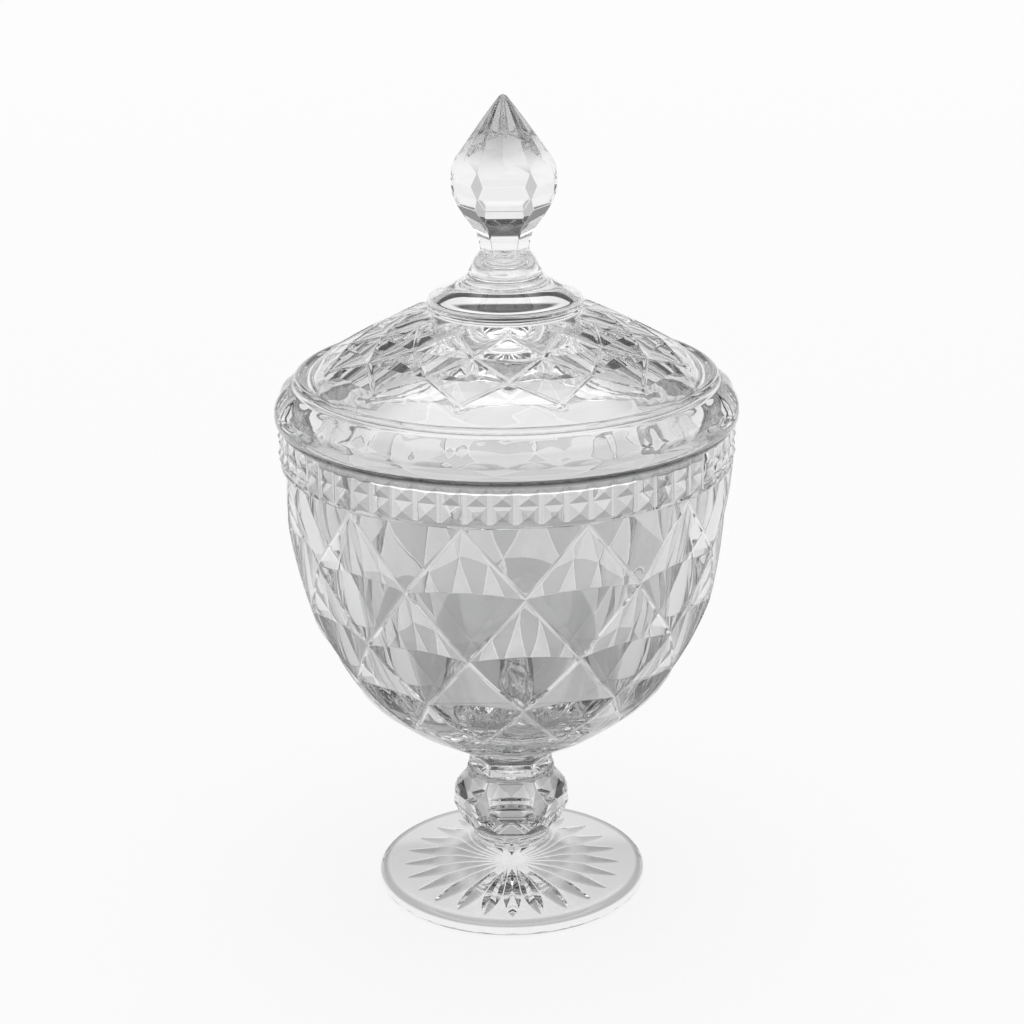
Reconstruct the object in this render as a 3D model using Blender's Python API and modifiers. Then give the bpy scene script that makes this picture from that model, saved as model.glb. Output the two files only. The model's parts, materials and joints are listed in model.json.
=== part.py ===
"""Footed glass powder jar with a lift-off lid, built from six pressed glass pieces.

The jar stands on the ground plane, centred on the origin, with +Z up and the
front towards -Y. All sizes are in metres.
"""

import math

import bmesh
import bpy
from mathutils import Vector

# Overall sizes. Heights stack from the ground up.
FOOT_RADIUS = 0.0323
FOOT_HEIGHT = 0.01105
STEM_HEIGHT = 0.0225
BOWL_HEIGHT = 0.0832
LID_HEIGHT = 0.0242
COLLAR_HEIGHT = 0.0132
FINIAL_HEIGHT = 0.03475

# Widths, as radii over the ridges or corners.
STEM_RADIUS = 0.0138
STEM_BASE_RADIUS = 0.0086
NECK_RADIUS = 0.0098
BOWL_RADIUS = 0.0525
COLLAR_RADIUS = 0.01775
COLLAR_NECK_RADIUS = 0.0056
FINIAL_RADIUS = 0.01185

# Glass thicknesses.
BOWL_WALL = 0.0037
BOWL_FLOOR = 0.00845
LID_LIP = 0.0023

# Fits.
JOINT_GAP = 0.0003
LID_OVERHANG = 0.0005
LIP_CLEARANCE = 0.0005
LIP_DEPTH = 0.0038

# Pressed patterns.
DIAMONDS_AROUND = 12
BOWL_PATTERN_TURN = math.radians(4.0)
LID_PATTERN_TURN = math.radians(1.1)
STUD_COLUMNS = 60
STUD_ROWS = 2
STUD_WIDTH_SHARE = 0.8
STUD_HEIGHT = 0.0009
STUD_BAND_BOTTOM = 0.888
STUD_BAND_TOP = 0.991
LID_PANELS = 30
FOOT_RAYS = 24
RAY_DEPTH = 0.0022
RAY_INNER_SHARE = 0.15
RAY_WIDE_SHARE = 0.52
RAY_OUTER_SHARE = 0.80
RAY_FILL = 0.88

LATHE_STEPS = 72
INSIDE_STEPS = 60

# Where each piece starts, from the ground up.
STEM_BASE = FOOT_HEIGHT + JOINT_GAP
BOWL_BASE = STEM_BASE + STEM_HEIGHT + JOINT_GAP
RIM_LEVEL = BOWL_BASE + BOWL_HEIGHT
LID_BASE = RIM_LEVEL + JOINT_GAP
COLLAR_BASE = LID_BASE + LID_HEIGHT + JOINT_GAP
FINIAL_BASE = COLLAR_BASE + COLLAR_HEIGHT + JOINT_GAP

# Bowl pattern levels from the rim down: height share, radius share at the
# middle of a diamond, radius share at a crossing of the grooves.
BOWL_LEVELS = [
    (0.8792, 0.9890, 0.9790),
    (0.6833, 0.9686, 0.9448),
    (0.4862, 0.8970, 0.8762),
    (0.3179, 0.7790, 0.7600),
    (0.1857, 0.6190, 0.6020),
]

# The long facets under the diamonds, in the same form.
BOWL_SKIRT = [
    (0.1004, 0.4533, 0.4380),
    (0.0535, 0.3240, 0.3160),
    (0.0246, 0.2533, 0.2495),
]

# Inside of the bowl from the rim down: depth share, share of the inside radius.
BOWL_INSIDE = [
    (0.990, 0.994),
    (0.875, 0.988),
    (0.741, 0.973),
    (0.607, 0.947),
    (0.474, 0.902),
    (0.340, 0.828),
    (0.226, 0.734),
    (0.132, 0.611),
    (0.056, 0.441),
    (0.013, 0.246),
]

# Rolled edge of the lid and its panelled shoulder: height share, radius share,
# and whether the panels cut it flat.
LID_EDGE = [
    (0.0000, 0.9868, False),
    (0.0145, 0.9972, False),
    (0.0434, 1.0000, False),
    (0.1219, 1.0000, False),
    (0.1467, 0.9943, False),
    (0.1756, 0.9925, True),
    (0.2417, 0.9792, True),
    (0.3037, 0.9566, True),
    (0.3409, 0.9302, False),
    (0.3492, 0.9189, False),
    (0.3946, 0.9132, False),
    (0.4236, 0.8962, False),
    (0.4277, 0.8755, False),
    (0.4153, 0.8642, False),
]

# Dome pattern levels from the edge up: height and radius shares at the middle
# of a diamond, then height and radius shares at a crossing of the grooves.
LID_LEVELS = [
    (0.5806, 0.7717, 0.5393, 0.7472),
    (0.7252, 0.6623, 0.6632, 0.6377),
    (0.8533, 0.5396, 0.8120, 0.5208),
    (0.9731, 0.4132, 0.9483, 0.3962),
]
LID_TOP_SHARE = 0.3264

# Underside of the dome from the lip up: height share, share of the lip radius.
LID_INSIDE = [
    (0.0764, 0.991),
    (0.2211, 0.963),
    (0.3616, 0.893),
    (0.4938, 0.784),
    (0.6426, 0.610),
    (0.7665, 0.392),
    (0.8244, 0.174),
]

# Six-sided pieces: height share, corner radius share, corner facet width share.
STEM_SECTIONS = [
    (0.120, 0.700, 0.06),
    (0.251, 0.935, 0.06),
    (0.340, 1.000, 0.05),
    (0.415, 0.985, 0.20),
    (0.491, 1.000, 0.05),
    (0.669, 0.895, 0.06),
    (0.829, 0.730, 0.06),
    (0.918, 0.710, 0.08),
]
FINIAL_SECTIONS = [
    (0.000, 0.473, 0.08),
    (0.027, 0.473, 0.08),
    (0.091, 0.511, 0.08),
    (0.154, 0.608, 0.08),
    (0.220, 0.751, 0.08),
    (0.283, 0.844, 0.06),
    (0.378, 1.000, 0.04),
    (0.442, 0.975, 0.18),
    (0.508, 1.000, 0.04),
    (0.571, 0.970, 0.10),
    (0.669, 0.760, 0.06),
    (0.764, 0.557, 0.05),
    (0.894, 0.300, 0.05),
    (0.957, 0.169, 0.05),
    (1.000, 0.060, 0.02),
]

GLASS_COLOUR = (0.90, 0.92, 0.92, 1.0)
GLASS_ROUGHNESS = 0.04


def clear_scene():
    """Empty the file of its starting objects."""
    for obj in list(bpy.data.objects):
        bpy.data.objects.remove(obj, do_unlink=True)


def new_collection(name):
    """Make a collection in the scene."""
    collection = bpy.data.collections.new(name)
    bpy.context.scene.collection.children.link(collection)
    return collection


def glass(name):
    """Make the clear glass of one piece."""
    material = bpy.data.materials.new(name + "_glass")
    material.use_nodes = True
    shader = material.node_tree.nodes["Principled BSDF"]
    shader.inputs["Base Color"].default_value = GLASS_COLOUR
    shader.inputs["Roughness"].default_value = GLASS_ROUGHNESS
    shader.inputs["Metallic"].default_value = 0.0
    shader.inputs["Alpha"].default_value = 0.35
    material.diffuse_color = GLASS_COLOUR
    return material


def place(name, mesh, base, collection):
    """Put a mesh in the scene as a named piece whose origin is on the axis."""
    obj = bpy.data.objects.new(name, mesh)
    obj.location = (0.0, 0.0, base)
    obj.data.materials.append(glass(name))
    collection.objects.link(obj)
    return obj


def ring(bm, count, turn, height, radius):
    """Add a closed ring of vertices and return (angle, vertex) pairs.

    height and radius are numbers, or functions of the point's index.
    """
    points = []
    for index in range(count):
        angle = turn + 2.0 * math.pi * index / count
        z = height(index) if callable(height) else height
        r = radius(index) if callable(radius) else radius
        spot = Vector((r * math.sin(angle), -r * math.cos(angle), z))
        points.append((angle, bm.verts.new(spot)))
    return points


def unwrapped(points, start):
    """List a ring's points in order of angle from the given start."""
    turned = []
    for angle, vertex in points:
        turned.append(((angle - start) % (2.0 * math.pi), vertex))
    turned.sort(key=lambda pair: pair[0])
    return turned


def stitch(bm, first, second):
    """Close the strip between two rings, whatever their counts."""
    start = first[0][0] - 1e-6
    a = unwrapped(first, start)
    b = unwrapped(second, start)
    a.append((a[0][0] + 2.0 * math.pi, a[0][1]))
    b.append((b[0][0] + 2.0 * math.pi, b[0][1]))
    i = 0
    j = 0
    while i < len(a) - 1 or j < len(b) - 1:
        step_a = i < len(a) - 1
        if step_a and j < len(b) - 1:
            step_a = a[i + 1][0] + a[i][0] <= b[j + 1][0] + b[j][0] + 1e-9
        if step_a:
            bm.faces.new((a[i][1], a[i + 1][1], b[j][1]))
            i += 1
        else:
            bm.faces.new((a[i][1], b[j + 1][1], b[j][1]))
            j += 1


def diamond_strip(bm, upper, lower, crossings_even):
    """Join two pattern levels so that each groove runs crossing to crossing."""
    count = len(upper)
    for index in range(count):
        after = (index + 1) % count
        u0, u1 = upper[index][1], upper[after][1]
        l0, l1 = lower[index][1], lower[after][1]
        if (index % 2 == 0) == crossings_even:
            bm.faces.new((u0, u1, l1))
            bm.faces.new((u0, l1, l0))
        else:
            bm.faces.new((u0, u1, l0))
            bm.faces.new((u1, l1, l0))


def cap(bm, points):
    """Close a ring with one flat face."""
    bm.faces.new([vertex for _, vertex in points])


def close_mesh(bm, name):
    """Turn the faces outwards and hand the mesh over."""
    bmesh.ops.recalc_face_normals(bm, faces=bm.faces)
    mesh = bpy.data.meshes.new(name)
    bm.to_mesh(mesh)
    bm.free()
    return mesh


def alternate(crossing, middle, crossings_even):
    """Choose between two values by the point's index around a level."""

    def pick(index):
        """Give the value at this index."""
        if (index % 2 == 0) == crossings_even:
            return crossing
        return middle

    return pick


def stud_angles():
    """List the angles of the stud edges, two for each column."""
    angles = []
    half = 0.5 * STUD_WIDTH_SHARE
    for column in range(STUD_COLUMNS):
        middle = 2.0 * math.pi * column / STUD_COLUMNS
        angles.append(middle - half * 2.0 * math.pi / STUD_COLUMNS)
        angles.append(middle + half * 2.0 * math.pi / STUD_COLUMNS)
    return angles


def angle_ring(bm, angles, height, radius):
    """Add a ring of vertices at the given angles."""
    points = []
    for angle in angles:
        spot = Vector((radius * math.sin(angle), -radius * math.cos(angle), height))
        points.append((angle, bm.verts.new(spot)))
    return points


def studs(bm, rows, angles, radius):
    """Fill the band between stud rows with pyramids and plain strips."""
    count = len(angles)
    for upper, lower in zip(rows[:-1], rows[1:]):
        for index in range(count):
            after = (index + 1) % count
            u0, u1 = upper[index][1], upper[after][1]
            l0, l1 = lower[index][1], lower[after][1]
            if index % 2 == 1:
                bm.faces.new((u0, u1, l1, l0))
                continue
            angle = 0.5 * (angles[index] + angles[after])
            z = 0.25 * (u0.co.z + u1.co.z + l0.co.z + l1.co.z)
            r = radius + STUD_HEIGHT
            tip = bm.verts.new((r * math.sin(angle), -r * math.cos(angle), z))
            for one, two in ((u0, u1), (u1, l1), (l1, l0), (l0, u0)):
                bm.faces.new((one, two, tip))


def make_bowl(collection):
    """Build the bowl: diamonds, studs, rim and a smooth inside."""
    bm = bmesh.new()
    around = 2 * DIAMONDS_AROUND
    h = BOWL_HEIGHT
    r = BOWL_RADIUS
    angles = stud_angles()
    body_radius = r - STUD_HEIGHT
    inside = r - BOWL_WALL

    rim_in = ring(bm, INSIDE_STEPS, 0.0, h, inside + 0.0002)
    rim_out = angle_ring(bm, angles, h, r - 0.0003)
    edge = angle_ring(bm, angles, h - 0.0003, r)
    edge_low = angle_ring(bm, angles, h * STUD_BAND_TOP + 0.0002, r)
    stitch(bm, rim_in, rim_out)
    stitch(bm, rim_out, edge)
    stitch(bm, edge, edge_low)

    rows = []
    for row in range(STUD_ROWS + 1):
        share = row / STUD_ROWS
        z = h * (STUD_BAND_TOP + share * (STUD_BAND_BOTTOM - STUD_BAND_TOP))
        rows.append(angle_ring(bm, angles, z, body_radius))
    stitch(bm, edge_low, rows[0])
    studs(bm, rows, angles, body_radius)

    above = rows[-1]
    even = True
    previous = None
    for height, middle, crossing in BOWL_LEVELS:
        level = ring(bm, around, BOWL_PATTERN_TURN + math.pi / DIAMONDS_AROUND, h * height,
                     alternate(crossing * r, middle * r, even))
        if previous is None:
            stitch(bm, above, level)
        else:
            diamond_strip(bm, previous, level, not even)
        previous = level
        even = not even
    for height, middle, crossing in BOWL_SKIRT:
        level = ring(bm, around, BOWL_PATTERN_TURN + math.pi / DIAMONDS_AROUND, h * height,
                     alternate(crossing * r, middle * r, not even))
        stitch(bm, previous, level)
        previous = level
    base = ring(bm, around, BOWL_PATTERN_TURN, 0.0, NECK_RADIUS + 0.0002)
    stitch(bm, previous, base)
    cap(bm, base)

    previous = rim_in
    for share, width in BOWL_INSIDE:
        z = BOWL_FLOOR + share * (h - BOWL_FLOOR)
        level = ring(bm, INSIDE_STEPS, 0.0, z, inside * width)
        stitch(bm, previous, level)
        previous = level
    bottom = bm.verts.new((0.0, 0.0, BOWL_FLOOR))
    for index in range(INSIDE_STEPS):
        after = (index + 1) % INSIDE_STEPS
        bm.faces.new((previous[index][1], previous[after][1], bottom))
    return place("bowl", close_mesh(bm, "bowl"), BOWL_BASE, collection)


def make_lid(collection):
    """Build the lid: rolled edge, panels, diamonds, lip and hollow."""
    bm = bmesh.new()
    around = 2 * DIAMONDS_AROUND
    edge_points = 2 * LID_PANELS
    h = LID_HEIGHT
    r = BOWL_RADIUS + LID_OVERHANG
    lip = BOWL_RADIUS - BOWL_WALL - LIP_CLEARANCE
    flat = math.cos(math.pi / LID_PANELS)

    previous = None
    first = None
    for height, width, panelled in LID_EDGE:
        middle = r * width * (flat if panelled else 1.0)
        level = ring(bm, edge_points, 0.0, h * height, alternate(r * width, middle, False))
        if previous is None:
            first = level
        else:
            stitch(bm, previous, level)
        previous = level

    even = False
    lower = None
    for mid_z, mid_r, cross_z, cross_r in LID_LEVELS:
        level = ring(bm, around, LID_PATTERN_TURN, alternate(cross_z * h, mid_z * h, even),
                     alternate(cross_r * r, mid_r * r, even))
        if lower is None:
            stitch(bm, previous, level)
        else:
            diamond_strip(bm, lower, level, not even)
        lower = level
        even = not even
    top = ring(bm, around, LID_PATTERN_TURN, h, LID_TOP_SHARE * r)
    stitch(bm, lower, top)
    cap(bm, top)

    seat = ring(bm, INSIDE_STEPS, 0.0, 0.0, lip)
    stitch(bm, first, seat)
    previous = seat
    lip_rows = [
        (-LIP_DEPTH + 0.0004, lip - 0.0002),
        (-LIP_DEPTH, lip - 0.0007),
        (-LIP_DEPTH, lip - LID_LIP + 0.0005),
        (-LIP_DEPTH + 0.0005, lip - LID_LIP),
    ]
    for z, width in lip_rows:
        level = ring(bm, INSIDE_STEPS, 0.0, z, width)
        stitch(bm, previous, level)
        previous = level
    for share, width in LID_INSIDE:
        level = ring(bm, INSIDE_STEPS, 0.0, share * h, width * (lip - LID_LIP))
        stitch(bm, previous, level)
        previous = level
    centre = bm.verts.new((0.0, 0.0, 0.8368 * h))
    for index in range(INSIDE_STEPS):
        after = (index + 1) % INSIDE_STEPS
        bm.faces.new((previous[index][1], previous[after][1], centre))
    return place("lid", close_mesh(bm, "lid"), LID_BASE, collection)


def six_sided(bm, height, corner, facet):
    """Add a hexagon with narrow corner facets, corners to the left and right."""
    points = []
    cut = facet * corner
    full = corner + 0.5 * cut
    for index in range(6):
        angle = math.radians(30.0 + 60.0 * index)
        tip = Vector((full * math.sin(angle), -full * math.cos(angle), height))
        for side in (-1.0, 1.0):
            along = angle + side * math.radians(120.0)
            spot = tip + cut * Vector((math.sin(along), -math.cos(along), 0.0))
            where = math.atan2(spot.x, -spot.y) % (2.0 * math.pi)
            points.append((where, bm.verts.new(spot)))
    points.sort(key=lambda pair: pair[0])
    return points


def make_stem(collection):
    """Build the six-sided stem with its two round rings at the base."""
    bm = bmesh.new()
    h = STEM_HEIGHT
    base = STEM_BASE_RADIUS
    rounds = [
        (0.000, 0.98 * base),
        (0.020, 1.07 * base),
        (0.040, 1.02 * base),
        (0.062, 1.09 * base),
        (0.085, 1.03 * base),
    ]
    previous = None
    for share, radius in rounds:
        level = ring(bm, 36, 0.0, share * h, radius)
        if previous is None:
            cap(bm, level)
        else:
            stitch(bm, previous, level)
        previous = level
    for share, corner, facet in STEM_SECTIONS:
        level = six_sided(bm, share * h, corner * STEM_RADIUS, facet)
        stitch(bm, previous, level)
        previous = level
    top = ring(bm, 36, 0.0, h, NECK_RADIUS)
    stitch(bm, previous, top)
    cap(bm, top)
    return place("stem", close_mesh(bm, "stem"), STEM_BASE, collection)


def make_finial(collection):
    """Build the six-sided knob of the lid."""
    bm = bmesh.new()
    previous = None
    for share, corner, facet in FINIAL_SECTIONS:
        level = six_sided(bm, share * FINIAL_HEIGHT, corner * FINIAL_RADIUS, facet)
        if previous is None:
            cap(bm, level)
        else:
            stitch(bm, previous, level)
        previous = level
    cap(bm, previous)
    return place("finial", close_mesh(bm, "finial"), FINIAL_BASE, collection)


def lathe(name, profile, base, collection):
    """Turn a profile, given from the top down its outer side, about the axis."""
    mesh = bpy.data.meshes.new(name)
    verts = [(radius, 0.0, height) for radius, height in profile]
    edges = [(index, index + 1) for index in range(len(profile) - 1)]
    mesh.from_pydata(verts, edges, [])
    obj = place(name, mesh, base, collection)
    screw = obj.modifiers.new("turned", "SCREW")
    screw.axis = "Z"
    screw.angle = 2.0 * math.pi
    screw.steps = LATHE_STEPS
    screw.render_steps = LATHE_STEPS
    screw.use_merge_vertices = True
    screw.merge_threshold = 0.00001
    screw.use_smooth_shade = True
    screw.use_normal_calculate = True
    return obj


def make_collar(collection):
    """Build the round collar between the lid and its knob."""
    h = COLLAR_HEIGHT
    r = COLLAR_RADIUS
    neck = COLLAR_NECK_RADIUS
    rise = r - neck
    profile = [
        (0.0, h),
        (0.93 * neck, h),
        (neck, 0.985 * h),
        (neck + 0.075 * rise, 0.915 * h),
        (neck + 0.170 * rise, 0.765 * h),
        (neck + 0.230 * rise, 0.635 * h),
        (neck + 0.255 * rise, 0.590 * h),
        (neck + 0.530 * rise, 0.430 * h),
        (neck + 0.820 * rise, 0.285 * h),
        (neck + 0.860 * rise, 0.262 * h),
        (neck + 0.905 * rise, 0.290 * h),
        (neck + 0.960 * rise, 0.270 * h),
        (neck + 0.995 * rise, 0.205 * h),
        (r, 0.130 * h),
        (neck + 0.975 * rise, 0.040 * h),
        (neck + 0.890 * rise, 0.0),
        (0.0, 0.0),
    ]
    return lathe("lid_collar", profile, COLLAR_BASE, collection)


def ray_cutter(cutters):
    """Make the cutter of the star under the foot: leaf-shaped wedges."""
    bm = bmesh.new()
    inner = RAY_INNER_SHARE * FOOT_RADIUS
    wide = RAY_WIDE_SHARE * FOOT_RADIUS
    outer = RAY_OUTER_SHARE * FOOT_RADIUS
    half = RAY_FILL * wide * math.tan(math.pi / FOOT_RAYS)
    for index in range(FOOT_RAYS):
        angle = 2.0 * math.pi * index / FOOT_RAYS
        out = Vector((math.sin(angle), -math.cos(angle), 0.0))
        side = Vector((math.cos(angle), math.sin(angle), 0.0))
        up = Vector((0.0, 0.0, 1.0))
        tips = (bm.verts.new(inner * out), bm.verts.new(outer * out))
        left = bm.verts.new(wide * out - half * side)
        right = bm.verts.new(wide * out + half * side)
        crest = bm.verts.new(wide * out + RAY_DEPTH * up)
        below = bm.verts.new(wide * out - RAY_DEPTH * up)
        for end in tips:
            for flank in (left, right):
                bm.faces.new((end, flank, crest))
                bm.faces.new((end, flank, below))
    obj = bpy.data.objects.new("foot_ray_cutter", close_mesh(bm, "foot_ray_cutter"))
    obj.hide_render = True
    obj.display_type = "WIRE"
    cutters.objects.link(obj)
    return obj


def make_foot(collection, cutters):
    """Build the round foot with a star cut into its underside."""
    h = FOOT_HEIGHT
    r = FOOT_RADIUS
    base = STEM_BASE_RADIUS
    span = r - base
    profile = [
        (0.0, h),
        (0.96 * base, h),
        (base + 0.002 * span, 0.960 * h),
        (base + 0.080 * span, 0.850 * h),
        (base + 0.225 * span, 0.700 * h),
        (base + 0.480 * span, 0.545 * h),
        (base + 0.735 * span, 0.435 * h),
        (base + 0.925 * span, 0.358 * h),
        (base + 0.983 * span, 0.308 * h),
        (r, 0.235 * h),
        (base + 0.996 * span, 0.110 * h),
        (base + 0.966 * span, 0.027 * h),
        (base + 0.930 * span, 0.0),
        (0.0, 0.0),
    ]
    foot = lathe("foot", profile, 0.0, collection)
    cut = foot.modifiers.new("star", "BOOLEAN")
    cut.operation = "DIFFERENCE"
    cut.solver = "EXACT"
    cut.object = ray_cutter(cutters)
    return foot


def main():
    """Build every piece of the jar."""
    clear_scene()
    pieces = new_collection("powder_jar")
    cutters = new_collection("cutters")
    cutters.hide_render = True
    make_foot(pieces, cutters)
    make_stem(pieces)
    make_bowl(pieces)
    make_lid(pieces)
    make_collar(pieces)
    make_finial(pieces)


main()
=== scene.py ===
"""Footed powder jar in clear pressed glass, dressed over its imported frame.

Two loose glass pieces are modelled: the jar itself (foot, stem and bowl fused
into one) and its lid (dome, collar and knob fused into one). Sizes are in
metres, +Z is up and the front faces -Y.
"""

import json
import logging
import math
from collections.abc import Sequence
from dataclasses import dataclass
from enum import Enum

import bmesh
import bpy
from mathutils import Matrix, Vector

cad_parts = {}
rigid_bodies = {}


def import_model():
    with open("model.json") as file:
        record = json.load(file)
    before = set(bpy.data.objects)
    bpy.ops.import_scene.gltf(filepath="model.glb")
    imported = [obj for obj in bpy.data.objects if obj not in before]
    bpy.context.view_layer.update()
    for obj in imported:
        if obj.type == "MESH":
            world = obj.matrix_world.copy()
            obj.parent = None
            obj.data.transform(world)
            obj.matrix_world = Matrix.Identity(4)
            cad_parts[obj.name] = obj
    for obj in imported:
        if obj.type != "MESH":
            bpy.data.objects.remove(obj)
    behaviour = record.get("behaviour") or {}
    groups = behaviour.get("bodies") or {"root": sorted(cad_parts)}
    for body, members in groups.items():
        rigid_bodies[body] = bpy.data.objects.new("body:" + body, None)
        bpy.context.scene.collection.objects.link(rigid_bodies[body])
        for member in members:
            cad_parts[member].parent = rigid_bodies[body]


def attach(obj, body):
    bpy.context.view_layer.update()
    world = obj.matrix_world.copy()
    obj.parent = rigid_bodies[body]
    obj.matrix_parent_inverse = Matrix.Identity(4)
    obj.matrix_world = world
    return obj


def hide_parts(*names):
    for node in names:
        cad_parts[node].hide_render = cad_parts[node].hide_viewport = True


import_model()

LOG = logging.getLogger("powder_jar")
MM = 0.001
FULL_TURN = 2.0 * math.pi
# Name of the per-corner tone of painted light and shade: -1 is painted shade, 0 plain glass, 1 painted
# light.
PAINTED_TONE_ATTRIBUTE = "fire_polish"
ANGLE_SLACK = 1e-5
WELD = 0.004 * MM
SLIVER = 0.002 * MM
CREASE = math.radians(34.0)
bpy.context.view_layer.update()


class Body(Enum):
    """The two bodies that lift apart."""

    JAR = "jar"
    COVER = "cover"


# ---------------------------------------------------------------- shader help


class Shade:
    """A shader tree with one way to add any node."""

    def __init__(self, tree: bpy.types.NodeTree) -> None:
        """Keep the tree and empty it."""
        self.tree = tree
        tree.nodes.clear()

    def add(self, kind: str, settings: dict | None = None, **inputs: object) -> bpy.types.Node:
        """Add a node.

        Args:
            kind: the node's type.
            settings: properties set before its sockets; "stops" fills a ramp.
            inputs: values or Value links, by socket name with _ for a space,
                or i0, i1, and so on for a socket's place.

        Returns:
            The new node.
        """
        node = self.tree.nodes.new(kind)
        for name, value in (settings or {}).items():
            if name == "stops":
                self._stops(node, value)
            else:
                setattr(node, name, value)
        for name, value in inputs.items():
            if name[0] == "i" and name[1:].isdigit():
                socket = node.inputs[int(name[1:])]
            else:
                socket = node.inputs[name.replace("_", " ")]
            if isinstance(value, Value):
                self.tree.links.new(value.socket, socket)
            else:
                socket.default_value = value
        return node

    @staticmethod
    def _stops(node: bpy.types.Node, stops: Sequence[tuple[float, tuple]]) -> None:
        """Fill a colour ramp.

        Args:
            node: the ramp.
            stops: the place and colour of each stop.
        """
        ramp = node.color_ramp
        while len(ramp.elements) < len(stops):
            ramp.elements.new(0.5)
        for element, (place, colour) in zip(ramp.elements, stops):
            element.position = place
            element.color = colour

    def math(self, operation: str, *values: object) -> "Value":
        """Add a Math node and return its result.

        Args:
            operation: the operation's name.
            values: what it works on.

        Returns:
            The result.
        """
        inputs = {f"i{place}": value for place, value in enumerate(values)}
        node = self.add("ShaderNodeMath", {"operation": operation}, **inputs)
        return Value(self, node.outputs[0])

    def mix_colour(self, factor: object, first: object, second: object) -> "Value":
        """Mix two colours."""
        node = self.add("ShaderNodeMix", {"data_type": "RGBA"}, i0=factor, i6=first, i7=second)
        return Value(self, node.outputs[2])

    def noise(self, place: "Value", scale: float, detail: float, distortion: float = 0.0) -> "Value":
        """Add noise and return its strength.

        Args:
            place: where the point is on the piece.
            scale: the noise's scale.
            detail: how much fine noise it has.
            distortion: how much it is bent.

        Returns:
            Its strength.
        """
        node = self.add("ShaderNodeTexNoise", None, Vector=place, Scale=scale, Detail=detail,
                        Distortion=distortion)
        return self.out(node, "Fac")

    def out(self, node: bpy.types.Node, name: str) -> "Value":
        """Wrap a node's output."""
        return Value(self, node.outputs[name])


class Value:
    """A number in a shader tree that takes part in Python arithmetic."""

    def __init__(self, shade: Shade, socket: bpy.types.NodeSocket) -> None:
        """Wrap a socket of the tree."""
        self.shade = shade
        self.socket = socket

    def __add__(self, other: object) -> "Value":
        """Add."""
        return self.shade.math("ADD", self, other)

    def __radd__(self, other: object) -> "Value":
        """Add, reflected."""
        return self.shade.math("ADD", other, self)

    def __sub__(self, other: object) -> "Value":
        """Subtract."""
        return self.shade.math("SUBTRACT", self, other)

    def __rsub__(self, other: object) -> "Value":
        """Subtract, reflected."""
        return self.shade.math("SUBTRACT", other, self)

    def __mul__(self, other: object) -> "Value":
        """Multiply."""
        return self.shade.math("MULTIPLY", self, other)

    def __rmul__(self, other: object) -> "Value":
        """Multiply, reflected."""
        return self.shade.math("MULTIPLY", other, self)

    def clamp(self, low: float, high: float) -> "Value":
        """Hold the value between two limits."""
        return self.shade.math("MINIMUM", self.shade.math("MAXIMUM", self, low), high)

    def ramp(self, low: float, high: float) -> "Value":
        """Rise smoothly from 0 at low to 1 at high.

        Args:
            low: where it is 0.
            high: where it is 1.

        Returns:
            The risen value.
        """
        node = self.shade.add(
            "ShaderNodeMapRange",
            {"interpolation_type": "SMOOTHSTEP"},
            Value=self, From_Min=low, From_Max=high, To_Min=0.0, To_Max=1.0,
        )
        return Value(self.shade, node.outputs[0])


@dataclass(frozen=True)
class Band:
    """A level zone of the glass, with how softly it starts and ends."""

    start: float
    end: float
    fade_in: float
    fade_out: float

    def mask(self, height: Value) -> Value:
        """Give 1 inside the band and 0 outside it.

        Args:
            height: its height.

        Returns:
            The mask.
        """
        return height.ramp(self.start, self.start + self.fade_in) * (
            1.0 - height.ramp(self.end - self.fade_out, self.end)
        )


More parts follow.
